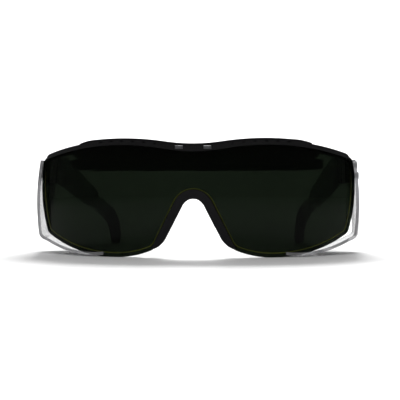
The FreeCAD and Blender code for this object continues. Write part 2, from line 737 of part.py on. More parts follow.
def saddle(profile, radius, width, low):
    """A band round the nose opening: a round top between two leaning flanks, which turn outwards to a tip."""
    lean, turn_z = "Sizes.saddle_lean", "Sizes.saddle_turn_z"
    outer = f"({radius}) + ({width})"

    def shoulder(r):
        return f"({r}) * cos({lean})", f"Sizes.saddle_z + ({r}) * sin({lean})"

    def flank(r, level):
        x, z = shoulder(r)
        return f"{x} + ({z} - ({level})) * tan({lean})"

    (xi, zi), (xo, zo) = shoulder(radius), shoulder(outer)
    turn_x, tip_x = flank(radius, turn_z), flank(outer, low)
    run = f"(({turn_z} - ({low}) + ({width}) * sin({lean})) / cos({lean}))"
    sweep = f"-(({run} ^ 2 + ({width}) ^ 2) / (2 * ({width})))"
    corners = [
        (f"-({tip_x})", low, sweep),
        (f"-({turn_x})", turn_z, ""),
        (f"-({xi})", zi, f"({radius})"),
        (xi, zi, ""),
        (turn_x, turn_z, sweep),
        (tip_x, low, ""),
        (xo, zo, f"-({outer})"),
        (f"-({xo})", zo, ""),
    ]
    trace(profile, corners)


def make_nose_piece(lens):
    made = body("nose_blank")
    front = sketch(made, "nose_front", "XZ_Plane", "-(" + depth("-Sizes.saddle_front - 0.5") + ")")
    saddle(front, "Sizes.saddle_radius", "Sizes.saddle_wide", "Sizes.saddle_low")
    back = sketch(made, "nose_back", "XZ_Plane", "-(" + depth("Sizes.saddle_back") + ")")
    saddle(back, "Sizes.saddle_radius + Sizes.saddle_flare", "Sizes.saddle_thin", "Sizes.saddle_low + 1")
    loft = made.newObject("PartDesign::AdditiveLoft", "nose_loft")
    loft.Profile = front
    loft.Sections = [back]
    loft.Ruled = True
    doc.recompute()
    ahead = body("nose_ahead")
    barrel(ahead, "nose_ahead_turn", "-30", "30 - Sizes.saddle_front")
    return cut("nose_piece", made, ahead, lens)


# --- side shields ---


def make_rivets():
    """Two rivets side by side, each a shank with a flat head, from the end piece out through the shield."""
    turn = "rotation(0; 90; 0)"
    pieces = []
    for level in ("low", "high"):
        y, z, seat = depth("Sizes.rivet_depth"), f"Sizes.rivet_{level}", f"Sizes.rivet_seat_{level}"
        pieces.append(
            cylinder(
                f"rivet_shank_{level}",
                "Sizes.rivet_radius",
                f"{seat} + 0.4 - Sizes.rivet_in",
                ("Sizes.rivet_in", y, z),
                turn,
            )
        )
        pieces.append(
            cylinder(
                f"rivet_head_{level}",
                "Sizes.rivet_head",
                "Sizes.rivet_head_high",
                (seat, y, z),
                turn,
            )
        )
    return fuse("shield_rivets_left", *pieces)


def shield_section(profile, wall_x, top_x, top_z, corner_z, floor_x, floor_z):
    """A thin wall that bows out, turns in at a rounded lower corner and runs in as a floor."""
    t, bow, bend, sag = "Sizes.shield_thick", "Sizes.shield_bow", "Sizes.shield_corner", "Sizes.shield_floor_bow"
    trace(
        profile,
        [
            (f"{top_x}", f"{top_z}", bow),
            (f"{wall_x}", f"{corner_z} + 4", bend),
            (f"{wall_x} - 3.4", f"{corner_z} + 0.4", sag),
            (f"{floor_x}", f"{floor_z}", ""),
            (f"{floor_x} - 0.2", f"{floor_z} + {t}", f"-({sag} - {t})"),
            (f"{wall_x} - 3.9", f"{corner_z} + 0.3 + {t}", f"-({bend} - {t})"),
            (f"{wall_x} - {t}", f"{corner_z} + 4.3", f"-({bow} - {t})"),
            (f"{top_x} - {t}", f"{top_z}", ""),
        ],
    )


def make_shield(lens, end_piece, rivets):
    shell = body("shield_shell")
    sections = []
    for i, (d, wall_x, top_x, top_z, corner_z, floor_x, floor_z) in enumerate(
        [
            (6, 78.1, 77.7, 46.8, 6.8, 44.0, 1.0),
            (33, 79.3, 78.3, 46.8, 6.6, 46.0, 1.0),
            (50, 81.9, 80.0, 46.4, 6.4, 52.0, 1.1),
            (76, 80.5, 78.8, 44.5, 7.8, 60.0, 2.6),
        ]
    ):
        profile = sketch(shell, f"shield_section{i}", "XZ_Plane", f"-({depth(str(d))})")
        shield_section(profile, wall_x, top_x, top_z, corner_z, floor_x, floor_z)
        sections.append(profile)
    loft = shell.newObject("PartDesign::AdditiveLoft", "shield_loft")
    loft.Profile = sections[0]
    loft.Sections = sections[1:]
    doc.recompute()
    plan = sketch(shell, "shield_front_plan", "XY_Plane")
    r, x, near = "Sizes.lens_radius", "74.6", "30"
    trace(
        plan,
        [
            ("30", depth("-10"), ""),
            ("95", depth("-10"), ""),
            ("95", depth("Sizes.shield_front"), ""),
            (x, depth("Sizes.shield_front"), f"{r}"),
            (near, depth(f"{r} - sqrt({r} ^ 2 - {near} ^ 2)"), ""),
        ],
    )
    pocket(shell, "shield_front_cut", plan)
    floor = sketch(shell, "shield_floor_plan", "XY_Plane")
    rectangle(floor, "30", depth("Sizes.floor_trim_depth"), "Sizes.floor_trim_x", depth("100"))
    pocket(shell, "shield_floor_cut", floor)
    rear = sketch(shell, "shield_rear_side", "YZ_Plane")
    trace(
        rear,
        [
            (depth("Sizes.shield_end"), "60", ""),
            (depth("Sizes.shield_end"), "38", "70"),
            (depth("Sizes.shield_end - 16"), "-5", ""),
            (depth("Sizes.shield_end + 30"), "-5", ""),
            (depth("Sizes.shield_end + 30"), "60", ""),
        ],
    )
    pocket(shell, "shield_rear_cut", rear)
    return cut("side_shield_left", shell, lens, end_piece, rivets)


# --- hinge, tilt screw and temple of the wearer's left side, in frames that turn with the temple ---

TILT = (
    "Sizes.pin_x - Sizes.tilt_offset * sin(Sizes.yaw)",
    depth("Sizes.pin_depth + Sizes.tilt_offset * cos(Sizes.yaw)"),
    "Sizes.pin_z",
)


def at_pin(made):
    where = f"vector(Sizes.pin_x; {depth('Sizes.pin_depth')}; Sizes.pin_z)"
    bind(made, "Placement", f"placement({where}; rotation(Sizes.yaw; 0; 0))")


def at_tilt(made, roll):
    bind(made, "Placement", f"placement(vector({'; '.join(TILT)}); rotation(Sizes.yaw; 0; {roll}))")


def make_pin():
    where = ("Sizes.pin_x", depth("Sizes.pin_depth"))
    shank = cylinder("pin_shank", "Sizes.pin_radius", "Sizes.pin_high - Sizes.pin_low", (*where, "Sizes.pin_low"))
    head = cylinder("pin_head", "1.8 * Sizes.pin_radius", "Sizes.pin_high - Sizes.end_high", (*where, "Sizes.end_high"))
    return fuse("hinge_pin_left", shank, head)


def make_hinge_block():
    made = body("hinge_block_left")
    thick = "2 * Sizes.lug_half"
    web = sketch(made, "block_web", "YZ_Plane")
    rectangle(web, "0", "-Sizes.knuckle_half", "Sizes.tilt_offset", "Sizes.knuckle_half")
    pad(made, "block_web_pad", web, thick)
    lug = sketch(made, "block_lug", "YZ_Plane")
    ring(lug, "Sizes.tilt_offset", "0", "Sizes.lug_radius")
    pad(made, "block_lug_pad", lug, thick)
    knuckle = sketch(made, "block_knuckle", "XY_Plane")
    ring(knuckle, "0", "0", "Sizes.knuckle_radius")
    pad(made, "block_knuckle_pad", knuckle, "2 * Sizes.knuckle_half")
    pin_hole = sketch(made, "block_pin_hole", "XY_Plane")
    ring(pin_hole, "0", "0", "Sizes.pin_radius + Sizes.pin_clear")
    pocket(made, "block_pin_bore", pin_hole)
    holes = sketch(made, "block_tilt_hole", "YZ_Plane")
    ring(holes, "Sizes.tilt_offset", "0", "Sizes.tilt_radius")
    for i in range(-2, 3):
        angle = f"{i} * Sizes.detent_step"
        ring(
            holes,
            f"Sizes.tilt_offset + Sizes.lug_radius * cos({angle})",
            f"Sizes.lug_radius * sin({angle})",
            "Sizes.detent_radius",
        )
    pocket(made, "block_tilt_bore", holes)
    at_pin(made)
    return made


def make_tilt_screw():
    made = body("tilt_screw_left")
    shank = sketch(made, "screw_shank", "YZ_Plane")
    ring(shank, "0", "0", "Sizes.tilt_radius")
    seat = "Sizes.sleeve_half + Sizes.screw_gap"
    pad(made, "screw_shank_pad", shank, f"2 * ({seat}) + 0.4")
    head = sketch(made, "screw_head", "YZ_Plane", seat)
    ring(head, "0", "0", "Sizes.screw_head")
    pad(made, "screw_head_pad", head, "Sizes.screw_head_high", symmetric=False)
    nut = sketch(made, "screw_nut", "YZ_Plane", f"-({seat})")
    corners = [(f"Sizes.screw_head * cos({60 * i})", f"Sizes.screw_head * sin({60 * i})", "") for i in range(6)]
    trace(nut, corners)
    pad(made, "screw_nut_pad", nut, "Sizes.screw_head_high", symmetric=False, reverse=True)
    slot = sketch(made, "screw_slot", "YZ_Plane", f"{seat} + Sizes.screw_head_high")
    rectangle(slot, "-Sizes.screw_head", "-0.3", "Sizes.screw_head", "0.3")
    pocket(made, "screw_slot_cut", slot, "0.4")
    at_tilt(made, "0")
    return made


def make_sleeve():
    made = body("temple_sleeve_left")
    side = sketch(made, "sleeve_side", "YZ_Plane")
    r, end, half = "Sizes.cheek_radius", "Sizes.sleeve_length", "Sizes.sleeve_end_half"
    lean = f"asin(({r} - {half}) / {end})"
    touch = f"{r} * sin({lean})", f"{r} * cos({lean})"
    trace(
        side,
        [(*touch, ""), (end, half, ""), (end, f"-{half}", ""), (touch[0], f"-{touch[1]}", r), (f"-{r}", "0", r)],
    )
    pad(made, "sleeve_pad", side, "2 * Sizes.sleeve_half")
    face = value("Sizes.sleeve_half")
    soften(made, "sleeve_soft", lambda e, m: abs(abs(m.x) - face) < 1e-3, "0.8")
    fork = sketch(made, "sleeve_fork", "XY_Plane")
    rectangle(fork, "-Sizes.fork_half", f"-2 * {r}", "Sizes.fork_half", "Sizes.fork_end")
    pocket(made, "sleeve_fork_cut", fork)
    hole = sketch(made, "sleeve_hole", "YZ_Plane")
    ring(hole, "0", "0", "Sizes.tilt_radius + Sizes.pin_clear")
    pocket(made, "sleeve_tilt_bore", hole)
    channel = sketch(made, "sleeve_channel", "YZ_Plane", "-Sizes.bore_half_width")
    high = "Sizes.bore_half_height"
    rectangle(channel, "Sizes.bore_start", f"-{high}", f"{end} + 5", high)
    pocket(made, "sleeve_channel_cut", channel, "2 * Sizes.bore_half_width", reverse=True)
    at_tilt(made, "-Sizes.slope")
    return made


def make_spring():
    made = body("length_spring_left")
    strip = sketch(made, "spring_side", "YZ_Plane")
    high = "Sizes.bore_half_height"
    rectangle(strip, "Sizes.spring_start", f"{high} - Sizes.spring_thick", "Sizes.spring_end", high)
    pad(made, "spring_pad", strip, "2 * Sizes.spring_half_width")
    at_tilt(made, "-Sizes.slope")
    return made


def bend(half, angle, run):
    """The upper and the lower end point of the ear bend at an angle, after a straight run."""

    def point(radius):
        return (
            f"Sizes.arm_end + ({radius}) * sin({angle}) + ({run}) * cos({angle})",
            f"({radius}) * cos({angle}) - Sizes.bend_radius - ({run}) * sin({angle})",
        )

    return point(f"Sizes.bend_radius + ({half})"), point(f"Sizes.bend_radius - ({half})")


def make_slider():
    made = body("temple_slider_left")
    shoulder = "Sizes.sleeve_length + Sizes.slide_travel + Sizes.slide_gap"
    bar = sketch(made, "slider_bar", "YZ_Plane")
    half = "Sizes.bar_half_height"
    rectangle(bar, "Sizes.bar_start", f"-{half}", f"{shoulder} + 1", half)
    pad(made, "slider_bar_pad", bar, "2 * Sizes.bar_half_width")
    arm = sketch(made, "slider_arm", "YZ_Plane")
    rectangle(arm, shoulder, "-Sizes.arm_half_height", "Sizes.cover_start", "Sizes.arm_half_height")
    pad(made, "slider_arm_pad", arm, "2 * Sizes.arm_half_width")
    face, long = value("Sizes.arm_half_width"), Vector(0, 1, 0)
    soften(made, "slider_arm_soft", lambda e, m: abs(abs(m.x) - face) < 1e-3 and along(e, long), "0.7")
    tongue = sketch(made, "slider_tongue", "YZ_Plane")
    half = "Sizes.tongue_half_height"
    top, low = bend(half, "Sizes.tongue_angle", "0")
    trace(
        tongue,
        [
            ("Sizes.cover_start - 1", half, ""),
            ("Sizes.arm_end", half, f"Sizes.bend_radius + {half}"),
            (*top, ""),
            (*low, f"-(Sizes.bend_radius - {half})"),
            ("Sizes.arm_end", f"-{half}", ""),
            ("Sizes.cover_start - 1", f"-{half}", ""),
        ],
    )
    pad(made, "slider_tongue_pad", tongue, "2 * Sizes.tongue_half_width")
    teeth = sketch(made, "slider_teeth", "YZ_Plane")
    for i in range(round(value("Sizes.tooth_count"))):
        ring(teeth, f"Sizes.tooth_first + {i} * Sizes.tooth_pitch", "Sizes.bar_half_height", "Sizes.tooth_radius")
    pocket(made, "slider_teeth_cut", teeth)
    at_tilt(made, "-Sizes.slope")
    return made


def make_ear_tip(slider):
    made = body("ear_cover")
    side = sketch(made, "cover_side", "YZ_Plane")
    half = "Sizes.tip_half_height"
    top, low = bend(half, "Sizes.bend_angle", "0")
    top_end, low_end = bend(half, "Sizes.bend_angle", "Sizes.tip_run")
    nose = bend("0", "Sizes.bend_angle", f"Sizes.tip_run + {half}")[0]
    trace(
        side,
        [
            ("Sizes.cover_start", half, ""),
            ("Sizes.arm_end", half, f"Sizes.bend_radius + {half}"),
            (*top, ""),
            (*top_end, half),
            (*nose, half),
            (*low_end, ""),
            (*low, f"-(Sizes.bend_radius - {half})"),
            ("Sizes.arm_end", f"-{half}", ""),
            ("Sizes.cover_start", f"-{half}", ""),
        ],
    )
    pad(made, "cover_pad", side, "2 * Sizes.cover_half_width")
    face = value("Sizes.cover_half_width")
    soften(made, "cover_soft", lambda e, m: abs(abs(m.x) - face) < 1e-3, "1.3")
    hole = sketch(made, "cover_hole", "YZ_Plane")
    middle = bend("0", "Sizes.bend_angle", "Sizes.tip_run")[0]
    ring(hole, *middle, "Sizes.cord_hole_radius")
    pocket(made, "cover_hole_cut", hole)
    at_tilt(made, "-Sizes.slope")
    return cut("ear_tip_left", made, slider)


lens_shape = make_lens_prism()
lens = make_lens(lens_shape)
ahead, window = make_window()
bar = make_bar()
rivets = make_rivets()
frame = make_brow_frame(bar, lens, window)
rail = make_rail()
clips = [
    cut(f"lens_clip_{side}", make_clip(side, sign), lens, frame, rail) for side, sign in (("left", 1), ("right", -1))
]
shelf = make_shelf()
brow_pad = make_brow_pad(shelf)
nose = make_nose_piece(lens)
end_piece = make_end_piece(lens_shape, lens, ahead, bar, rivets)
slider = make_slider()
left_parts = [
    end_piece,
    rivets,
    make_shield(lens, end_piece, rivets),
    make_pin(),
    make_hinge_block(),
    make_tilt_screw(),
    make_sleeve(),
    make_spring(),
    slider,
    make_ear_tip(slider),
]
right_parts = [other_side(made.Label.replace("_left", "_right"), made) for made in left_parts]

SUBPARTS = [lens, frame, rail, *clips, shelf, brow_pad, nose, *left_parts, *right_parts]


def check_and_write():
    doc.recompute()
    for thing in doc.Objects:
        if "Invalid" in thing.State or "Error" in thing.State:
            raise RuntimeError(f"{thing.Label} failed: {thing.State}")
    os.makedirs("parts", exist_ok=True)
    for part in SUBPARTS:
        shape = part.Shape
        if shape.isNull() or not shape.isValid() or not shape.Solids:
            raise RuntimeError(f"{part.Label} has no valid solid")
        shape.exportStep(f"parts/{part.Label}.step")
        size = shape.BoundBox
        print(
            f"{part.Label:24s} {len(shape.Solids)} solid(s) {shape.Volume:9.1f} mm3 "
            f"x {size.XMin:7.2f}..{size.XMax:7.2f} y {size.YMin:7.2f}..{size.YMax:7.2f} z {size.ZMin:6.2f}..{size.ZMax:6.2f}"
        )


check_and_write()
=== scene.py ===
"""Looks of the welding spectacles: materials, shading, soft pieces, light and camera."""

import math

import bmesh
import bpy
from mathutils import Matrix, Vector


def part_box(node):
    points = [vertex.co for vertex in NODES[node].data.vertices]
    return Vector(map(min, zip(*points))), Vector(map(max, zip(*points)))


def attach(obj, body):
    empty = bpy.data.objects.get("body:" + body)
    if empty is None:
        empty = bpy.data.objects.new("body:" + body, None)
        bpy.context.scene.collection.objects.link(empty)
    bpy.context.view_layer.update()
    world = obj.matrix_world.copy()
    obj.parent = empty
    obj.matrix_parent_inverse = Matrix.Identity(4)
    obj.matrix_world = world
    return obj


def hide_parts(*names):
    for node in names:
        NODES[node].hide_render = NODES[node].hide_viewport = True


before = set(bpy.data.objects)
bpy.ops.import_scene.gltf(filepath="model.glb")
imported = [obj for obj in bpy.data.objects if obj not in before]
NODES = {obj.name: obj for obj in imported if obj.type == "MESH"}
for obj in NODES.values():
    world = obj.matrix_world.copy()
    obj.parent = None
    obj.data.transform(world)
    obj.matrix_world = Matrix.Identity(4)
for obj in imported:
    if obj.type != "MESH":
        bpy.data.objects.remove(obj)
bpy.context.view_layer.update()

MM = 0.001
SIDES = (("left", 1), ("right", -1))


# --- node materials ---


class Graph:
    """A material's node tree, with short ways to add and join nodes."""

    def __init__(self, name):
        self.material = bpy.data.materials.new(name)
        self.material.use_nodes = True
        self.tree = self.material.node_tree
        self.tree.nodes.clear()
        self.out = self.add("ShaderNodeOutputMaterial")
        self.shader = self.add("ShaderNodeBsdfPrincipled")
        self.join(self.shader, "BSDF", self.out, "Surface")
        self.coords = self.add("ShaderNodeTexCoord")

    def add(self, kind, **settings):
        node = self.tree.nodes.new(kind)
        for key, setting in settings.items():
            setattr(node, key, setting)
        return node

    def join(self, source, output, target, into):
        self.tree.links.new(source.outputs[output], target.inputs[into])

    def set(self, **sockets):
        for key, setting in sockets.items():
            self.shader.inputs[key.replace("_", " ")].default_value = setting

    def noise(self, scale, detail=3.0, rough=0.5, stretch=None):
        """Noise over the object's own coordinates. scale is in features per metre."""
        node = self.add("ShaderNodeTexNoise")
        node.inputs["Scale"].default_value = scale
        node.inputs["Detail"].default_value = detail
        node.inputs["Roughness"].default_value = rough
        if stretch is None:
            self.join(self.coords, "Object", node, "Vector")
        else:
            mapping = self.add("ShaderNodeMapping")
            mapping.inputs["Scale"].default_value = stretch
            self.join(self.coords, "Object", mapping, "Vector")
            self.join(mapping, "Vector", node, "Vector")
        return node

    def ramp(self, source, output, stops):
        node = self.add("ShaderNodeValToRGB")
        self.join(source, output, node, "Fac")
        elements = node.color_ramp.elements
        while len(elements) < len(stops):
            elements.new(0.5)
        for element, (where, colour) in zip(elements, stops):
            element.position = where
            element.color = (*colour, 1.0)
        return node

    def spread(self, source, output, low, high):
        """Maps 0..1 to low..high."""
        node = self.add("ShaderNodeMapRange")
        node.inputs["To Min"].default_value = low
        node.inputs["To Max"].default_value = high
        self.join(source, output, node, "Value")
        return node

    def bump(self, layers):
        """Bump nodes in a chain. layers: (source, output, strength, distance in metres)."""
        before = None
        for source, output, strength, distance in layers:
            node = self.add("ShaderNodeBump")
            node.inputs["Strength"].default_value = strength
            node.inputs["Distance"].default_value = distance
            self.join(source, output, node, "Height")
            if before is not None:
                self.join(before, "Normal", node, "Normal")
            before = node
        self.join(before, "Normal", self.shader, "Normal")


def mottled(graph, colour, amount, scale=90.0):
    """Base colour with slow, faint variation."""
    noise = graph.noise(scale, 4.0, 0.6)
    low = tuple(c * (1 - amount) for c in colour)
    high = tuple(min(1.0, c * (1 + amount)) for c in colour)
    ramp = graph.ramp(noise, "Fac", [(0.3, low), (0.7, high)])
    graph.join(ramp, "Color", graph.shader, "Base Color")
    return noise


def moulded(name, colour, rough, grain=0.25, coat=0.0, specular=0.5):
    """Injection-moulded plastic with a fine spark-eroded grain and faint handling marks."""
    graph = Graph(name)
    mottled(graph, colour, 0.08)
    fine = graph.noise(5200.0, 2.0, 0.6)
    soft = graph.noise(420.0, 3.0, 0.5)
    marks = graph.noise(160.0, 6.0, 0.7, (1.0, 6.0, 1.0))
    spread = graph.spread(marks, "Fac", rough * 0.82, rough * 1.22)
    graph.join(spread, "Result", graph.shader, "Roughness")
    graph.set(Specular_IOR_Level=specular, Coat_Weight=coat, Coat_Roughness=0.12)
    graph.bump([(fine, "Fac", grain, 0.00006), (soft, "Fac", grain * 0.3, 0.0002)])
    return graph.material


def make_lens_material():
    """Polished dark green polycarbonate, nearly opaque, with a hard coat and faint wipe marks."""
    graph = Graph("lens_green")
    mottled(graph, (0.0038, 0.0060, 0.0034), 0.05, 40.0)
    graph.set(Transmission_Weight=0.8, IOR=1.12, Specular_IOR_Level=0.32)
    wipes = graph.noise(55.0, 5.0, 0.65, (1.0, 1.0, 5.0))
    spread = graph.spread(wipes, "Fac", 0.004, 0.03)
    graph.join(spread, "Result", graph.shader, "Roughness")
    waves = graph.noise(26.0, 1.0, 0.4)
    graph.bump([(waves, "Fac", 0.05, 0.0004)])
    return graph.material


def make_painted_highlight_material():
    """Painted highlight: a yellow-green colour on the bead that follows the lens's lower edge, standing
    in for the light caught on the bend of the lens's edge.
    """
    graph = Graph("lens_edge_painted_highlight")
    # painted highlight: a yellow-green far brighter than the lens itself
    mottled(graph, (0.040, 0.046, 0.006), 0.3, 90.0)
    graph.set(Roughness=0.3, Specular_IOR_Level=0.1)
    graph.bump([(graph.noise(900.0), "Fac", 0.12, 0.0001)])
    return graph.material


def make_shield_material():
    """Smoke-grey polycarbonate with faint moulding flow and dust haze."""
    graph = Graph("shield_smoke")
    haze = mottled(graph, (0.42, 0.42, 0.43), 0.05, 120.0)
    graph.set(Transmission_Weight=0.62, IOR=1.3, Specular_IOR_Level=0.4)
    spread = graph.spread(haze, "Fac", 0.16, 0.28)
    graph.join(spread, "Result", graph.shader, "Roughness")
    flow = graph.noise(60.0, 2.0)
    dust = graph.noise(2600.0)
    graph.bump([(flow, "Fac", 0.06, 0.0004), (dust, "Fac", 0.04, 0.00005)])
    return graph.material


def make_rubber():
    """Soft matte elastomer: fine pores, a slight bloom and no hard highlight."""
    graph = Graph("elastomer_black")
    mottled(graph, (0.0040, 0.0037, 0.0047), 0.18, 240.0)
    pores = graph.noise(3600.0, 3.0, 0.65)
    slow = graph.noise(300.0, 4.0, 0.6)
    spread = graph.spread(slow, "Fac", 0.527, 0.713)
    graph.join(spread, "Result", graph.shader, "Roughness")
    graph.set(Sheen_Weight=0.02, Sheen_Roughness=0.5, Specular_IOR_Level=0.16)
    graph.bump([(pores, "Fac", 0.35, 0.00008), (slow, "Fac", 0.15, 0.0003)])
    return graph.material


def make_foam():
    """Closed-cell foam of the brow pad: round cells seen as a fine pitted skin."""
    graph = Graph("foam_black")
    mottled(graph, (0.017, 0.017, 0.019), 0.25, 260.0)
    cells = graph.add("ShaderNodeTexVoronoi")
    cells.inputs["Scale"].default_value = 1500.0
    graph.join(graph.coords, "Object", cells, "Vector")
    graph.set(Roughness=0.9, Specular_IOR_Level=0.25, Sheen_Weight=0.4)
    pits = graph.noise(700.0, 4.0)
    graph.bump([(cells, "Distance", 0.6, 0.0002), (pits, "Fac", 0.3, 0.0003)])
    return graph.material


def make_steel():
    """Turned stainless steel with a fine brushed grain."""
    graph = Graph("steel_bright")
    mottled(graph, (0.56, 0.56, 0.55), 0.06, 500.0)
    brushed = graph.noise(1400.0, 4.0, 0.7, (1.0, 1.0, 14.0))
    graph.set(Metallic=1.0)
    spread = graph.spread(brushed, "Fac", 0.18, 0.42)
    graph.join(spread, "Result", graph.shader, "Roughness")
    graph.bump([(brushed, "Fac", 0.15, 0.00005)])
    return graph.material


def make_temple_material():
    """Pale grey translucent nylon of the temples and end pieces."""
    graph = Graph("temple_grey")
    noise = mottled(graph, (0.42, 0.425, 0.42), 0.05, 110.0)
    graph.set(
        Subsurface_Weight=0.25,
        Subsurface_Radius=(0.002, 0.002, 0.002),
        Subsurface_Scale=1.0,
        Specular_IOR_Level=0.5,
    )
    spread = graph.spread(noise, "Fac", 0.26, 0.4)
    graph.join(spread, "Result", graph.shader, "Roughness")
    fine = graph.noise(4800.0, 2.0)
    soft = graph.noise(380.0)
    graph.bump([(fine, "Fac", 0.12, 0.00005), (soft, "Fac", 0.08, 0.0002)])
    return graph.material


MATERIALS = {
    "lens": make_lens_material(),
    # the bead's colour is a painted highlight along the lens's lower edge
    "rim": make_painted_highlight_material(),
    "brow": moulded(
        "brow_black_nylon",
        (0.0022, 0.0022, 0.0026),
        0.2,
        grain=0.05,
        coat=0.15,
        specular=0.22,
    ),
    "clip": moulded("clip_grey", (0.042, 0.043, 0.047), 0.42),
    "rubber": make_rubber(),
    "foam": make_foam(),
    "shield": make_shield_material(),
    "temple": make_temple_material(),
    "hinge": moulded("hinge_grey_acetal", (0.24, 0.245, 0.245), 0.36, grain=0.15),
    "steel": make_steel(),
}
# The material of each node, whose name may also end in its side.
LOOKS = {
    "lens_shield": "lens",
    "brow_frame": "brow",
    "brow_rail": "brow",
    "lens_clip": "clip",
    "brow_shelf": "brow",
    "brow_pad": "foam",
    "nose_piece": "rubber",
    "side_shield": "shield",
    "end_piece": "temple",
    "shield_rivets": "hinge",
    "hinge_pin": "steel",
    "hinge_block": "hinge",
    "tilt_screw": "steel",
    "temple_sleeve": "temple",
    "length_spring": "steel",
    "temple_slider": "temple",
    "ear_tip": "rubber",
}


def look_of(node):
    stem = node
    for side, _ in SIDES:
        stem = stem.removesuffix(f"_{side}")
    return LOOKS[stem]


def dress(piece, material):
    piece.data.materials.clear()
    piece.data.materials.append(MATERIALS[material])


def even_shading(piece):
    """Smooth shading, with normals that follow the larger faces."""
    for polygon in piece.data.polygons:
        polygon.use_smooth = True
    smooth = piece.modifiers.new("even_normals", "WEIGHTED_NORMAL")
    smooth.keep_sharp = True
    smooth.weight = 60


for name, node in NODES.items():
    dress(node, look_of(name))
    even_shading(node)


# --- soft pieces, with sizes in mm ---

FINE_VOXEL = 0.4
FOAM_VOXEL = 0.5
RELAX_PASSES = 5

NOSE_PLUMP = 0.12
NOSE_RIB_DEPTH = 0.3
NOSE_RIB_PITCH = 2.4
NOSE_RIBS_TOP, NOSE_RIBS_TOP_FADE = 24.0, 6.0
NOSE_RIBS_FOOT, NOSE_RIBS_FOOT_FADE = 7.0, 3.0
NOSE_RIBS_BACK, NOSE_RIBS_BACK_FADE = 2.5, 1.5

FOAM_PLUMP = 0.1
FOAM_WAVE = 0.08

TIP_PLUMP = 0.08
TIP_RIB_DEPTH = 0.16
TIP_RIB_PITCH = 2.0
TIP_SIDE = 0.75  # how squarely the skin faces sideways where the ribs begin
TIP_RUN_Y, TIP_RUN_Z = 0.94, -0.34  # the way along the ear cover


def settled(piece):
    """Bakes a piece's modifiers into its mesh."""
    graph = bpy.context.evaluated_depsgraph_get()
    mesh = bpy.data.meshes.new_from_object(piece.evaluated_get(graph))
    piece.modifiers.clear()
    piece.data = mesh


def soft_piece(name, node, voxel, swell):
    """A CAD solid remeshed and relaxed into a rounded form. swell moves its skin in or out."""
    source = NODES[node]
    mesh = source.data.copy()
    mesh.transform(source.matrix_world)
    piece = bpy.data.objects.new(name, mesh)
    bpy.context.scene.collection.objects.link(piece)
    remesh = piece.modifiers.new("remesh", "REMESH")
    remesh.mode = "VOXEL"
    remesh.voxel_size = voxel * MM
    bpy.context.view_layer.update()
    settled(piece)
    bm = bmesh.new()
    bm.from_mesh(piece.data)
    every_axis = {"use_axis_x": True, "use_axis_y": True, "use_axis_z": True}
    for _ in range(RELAX_PASSES):
        bmesh.ops.smooth_vert(bm, verts=bm.verts, factor=0.5, **every_axis)
    bm.normal_update()
    for vertex in bm.verts:
        vertex.co += vertex.normal * swell(vertex.co / MM, vertex.normal) * MM
    bm.to_mesh(piece.data)
    bm.free()
    for polygon in piece.data.polygons:
        polygon.use_smooth = True
    return piece


def finish_soft(piece, material, node, body_name):
    dress(piece, material)
    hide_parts(node)
    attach(piece, body_name)


def clamped(share):
    return max(0.0, min(1.0, share))


def ribs(along, pitch):
    """A wave between 0 and 1 with one crest for each pitch."""
    return 0.5 + 0.5 * math.cos(2 * math.pi * along / pitch)


def nose_swell(point, normal):
    """Shallow grip ribs on the flanks that rest on the nose."""
    inward = max(0.0, -normal.x * (1 if point.x > 0 else -1))
    below = clamped((NOSE_RIBS_TOP - point.z) / NOSE_RIBS_TOP_FADE)
    above = clamped((point.z - NOSE_RIBS_FOOT) / NOSE_RIBS_FOOT_FADE)
    behind = clamped((point.y - FRONT_Y / MM - NOSE_RIBS_BACK) / NOSE_RIBS_BACK_FADE)
    depth = NOSE_RIB_DEPTH * inward * (below * above) * behind
    return NOSE_PLUMP - depth * ribs(point.z, NOSE_RIB_PITCH)


def foam_swell(point, normal):
    """Slightly uneven foam."""
    return FOAM_PLUMP + FOAM_WAVE * math.sin(point.x * 0.43) * math.sin(point.x * 0.19 + 1.0)


def tip_swell(point, normal):
    """Fine ribs along the side of the ear cover."""
    side = max(0.0, abs(normal.x) - TIP_SIDE) / (1 - TIP_SIDE)
    along = point.y * TIP_RUN_Y + point.z * TIP_RUN_Z
    return TIP_PLUMP - TIP_RIB_DEPTH * side * ribs(along, TIP_RIB_PITCH)


FRONT_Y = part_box("lens_shield")[0].y

nose = soft_piece("nose_saddle", "nose_piece", FINE_VOXEL, nose_swell)
finish_soft(nose, "rubber", "nose_piece", "front")
pad = soft_piece("brow_foam", "brow_pad", FOAM_VOXEL, foam_swell)
finish_soft(pad, "foam", "brow_pad", "front")
for side, _ in SIDES:
    tip = soft_piece(f"ear_cover_{side}", f"ear_tip_{side}", FINE_VOXEL, tip_swell)
    finish_soft(tip, "rubber", f"ear_tip_{side}", f"arm_{side}")


# --- the thin bead of painted highlight inside the lens's lower edge, with sizes in mm ---

PLAN_RADIUS = 105.0
BARREL_RADIUS = 240.0
BARREL_Z = 29.0

FACES_FRONT = -0.3  # a face whose normal has less y than this belongs to the lens's front
RIM_STEP = 0.6
BEAD_OUTER, BEAD_INNER = 1.75, 2.35  # how far inside the lens's edge the bead lies
BEAD_TOP = 43.0  # the bead ends at this height on each side
BEAD_TAPER = 25  # points over which each end narrows
BEAD_FRONT, BEAD_BACK = -0.05, 0.14
RELAX_LINE = 6


def lens_y(x, z):
    """y, in mm, of the lens's front face."""
    swing = BARREL_RADIUS - (PLAN_RADIUS - math.sqrt(PLAN_RADIUS**2 - x**2))
    return FRONT_Y / MM + BARREL_RADIUS - math.sqrt(swing**2 - (z - BARREL_Z) ** 2)


